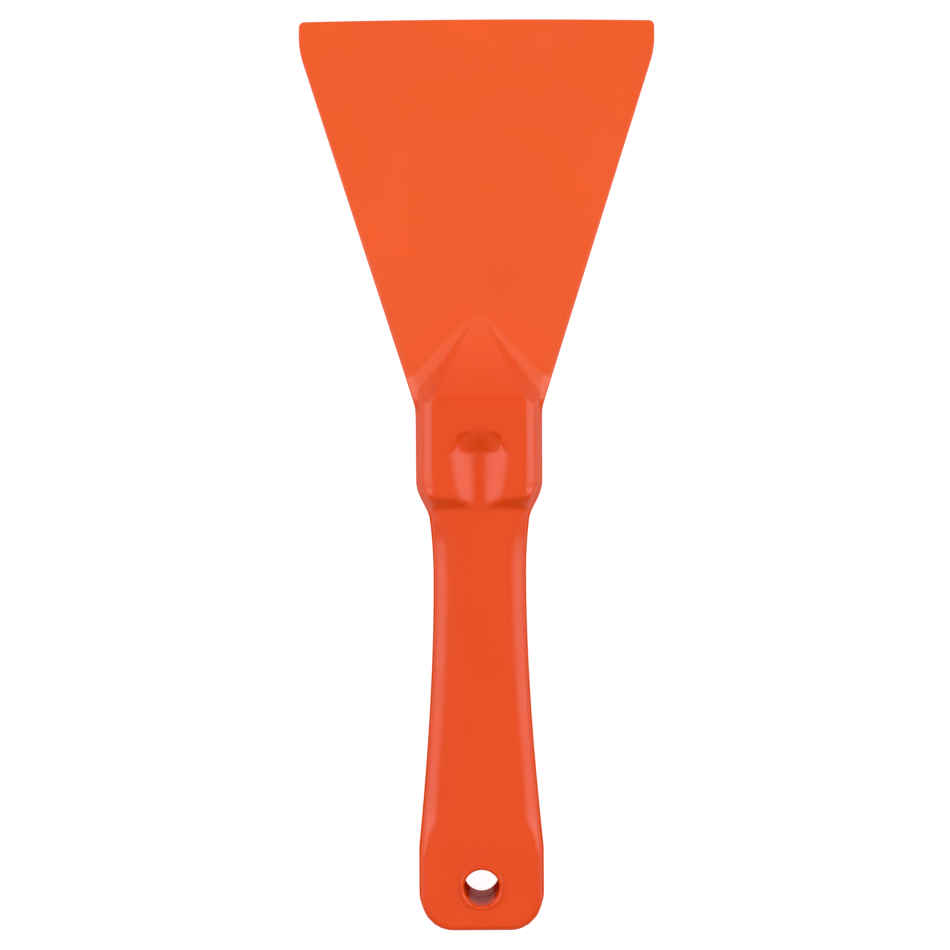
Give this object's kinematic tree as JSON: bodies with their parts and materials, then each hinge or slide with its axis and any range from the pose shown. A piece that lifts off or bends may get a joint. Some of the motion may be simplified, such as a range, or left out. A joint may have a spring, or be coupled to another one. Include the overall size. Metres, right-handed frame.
{
  "type": "flexible putty knife",
  "caption": "One-piece moulded plastic putty knife with a flared flexible blade, arrow-shaped buttress, block with thumb scoops, waisted grip and hanging hole.",
  "frame": {"origin": "middle of the tool's length and width, on the plane that its back pads rest on", "axes": "+X across the blade, +Y along the tool towards the scraping edge, +Z out of the front face"},
  "size_m": [0.1016, 0.2588, 0.021],
  "materials": {
    "orange_plastic": "satin moulded polypropylene, bright orange"
  },
  "bodies": {
    "handle": {"handle_butt": "orange_plastic", "handle_grip": "orange_plastic", "thumb_block": "orange_plastic", "blade_root": "orange_plastic"},
    "strip_1": {"blade_strip_1": "orange_plastic"},
    "strip_2": {"blade_strip_2": "orange_plastic"},
    "strip_3": {"blade_strip_3": "orange_plastic"},
    "strip_4": {"blade_strip_4": "orange_plastic"},
    "strip_5": {"blade_strip_5": "orange_plastic"},
    "strip_6": {"blade_strip_6": "orange_plastic"},
    "strip_7": {"blade_strip_7": "orange_plastic"}
  },
  "joints": [
    {"name": "blade_bend_1", "type": "hinge", "parent": "handle", "child": "strip_1", "pos_m": [0, 0.04648, 0.0105], "axis": [1, 0, 0], "range_deg": [-1.85, 1.85], "stiffness_Nm_per_rad": 37},
    {"name": "blade_bend_2", "type": "hinge", "parent": "strip_1", "child": "strip_2", "pos_m": [0, 0.05833, 0.0105], "axis": [1, 0, 0], "range_deg": [-4.3, 4.3], "stiffness_Nm_per_rad": 13.6},
    {"name": "blade_bend_3", "type": "hinge", "parent": "strip_2", "child": "strip_3", "pos_m": [0, 0.07019, 0.0105], "axis": [1, 0, 0], "range_deg": [-5.6, 5.6], "stiffness_Nm_per_rad": 8.7},
    {"name": "blade_bend_4", "type": "hinge", "parent": "strip_3", "child": "strip_4", "pos_m": [0, 0.08204, 0.0105], "axis": [1, 0, 0], "range_deg": [-6.2, 6.2], "stiffness_Nm_per_rad": 6.3},
    {"name": "blade_bend_5", "type": "hinge", "parent": "strip_4", "child": "strip_5", "pos_m": [0, 0.09389, 0.0105], "axis": [1, 0, 0], "range_deg": [-5.7, 5.7], "stiffness_Nm_per_rad": 5.2},
    {"name": "blade_bend_6", "type": "hinge", "parent": "strip_5", "child": "strip_6", "pos_m": [0, 0.10574, 0.0105], "axis": [1, 0, 0], "range_deg": [-4.8, 4.8], "stiffness_Nm_per_rad": 4.1},
    {"name": "blade_bend_7", "type": "hinge", "parent": "strip_6", "child": "strip_7", "pos_m": [0, 0.1176, 0.0105], "axis": [1, 0, 0], "range_deg": [-3.7, 3.7], "stiffness_Nm_per_rad": 2.65}
  ],
  "couplings": [
    {"joint": "blade_bend_2", "follows": "blade_bend_1", "ratio": 2.32},
    {"joint": "blade_bend_3", "follows": "blade_bend_1", "ratio": 3.02},
    {"joint": "blade_bend_4", "follows": "blade_bend_1", "ratio": 3.33},
    {"joint": "blade_bend_5", "follows": "blade_bend_1", "ratio": 3.05},
    {"joint": "blade_bend_6", "follows": "blade_bend_1", "ratio": 2.58},
    {"joint": "blade_bend_7", "follows": "blade_bend_1", "ratio": 1.98}
  ]
}
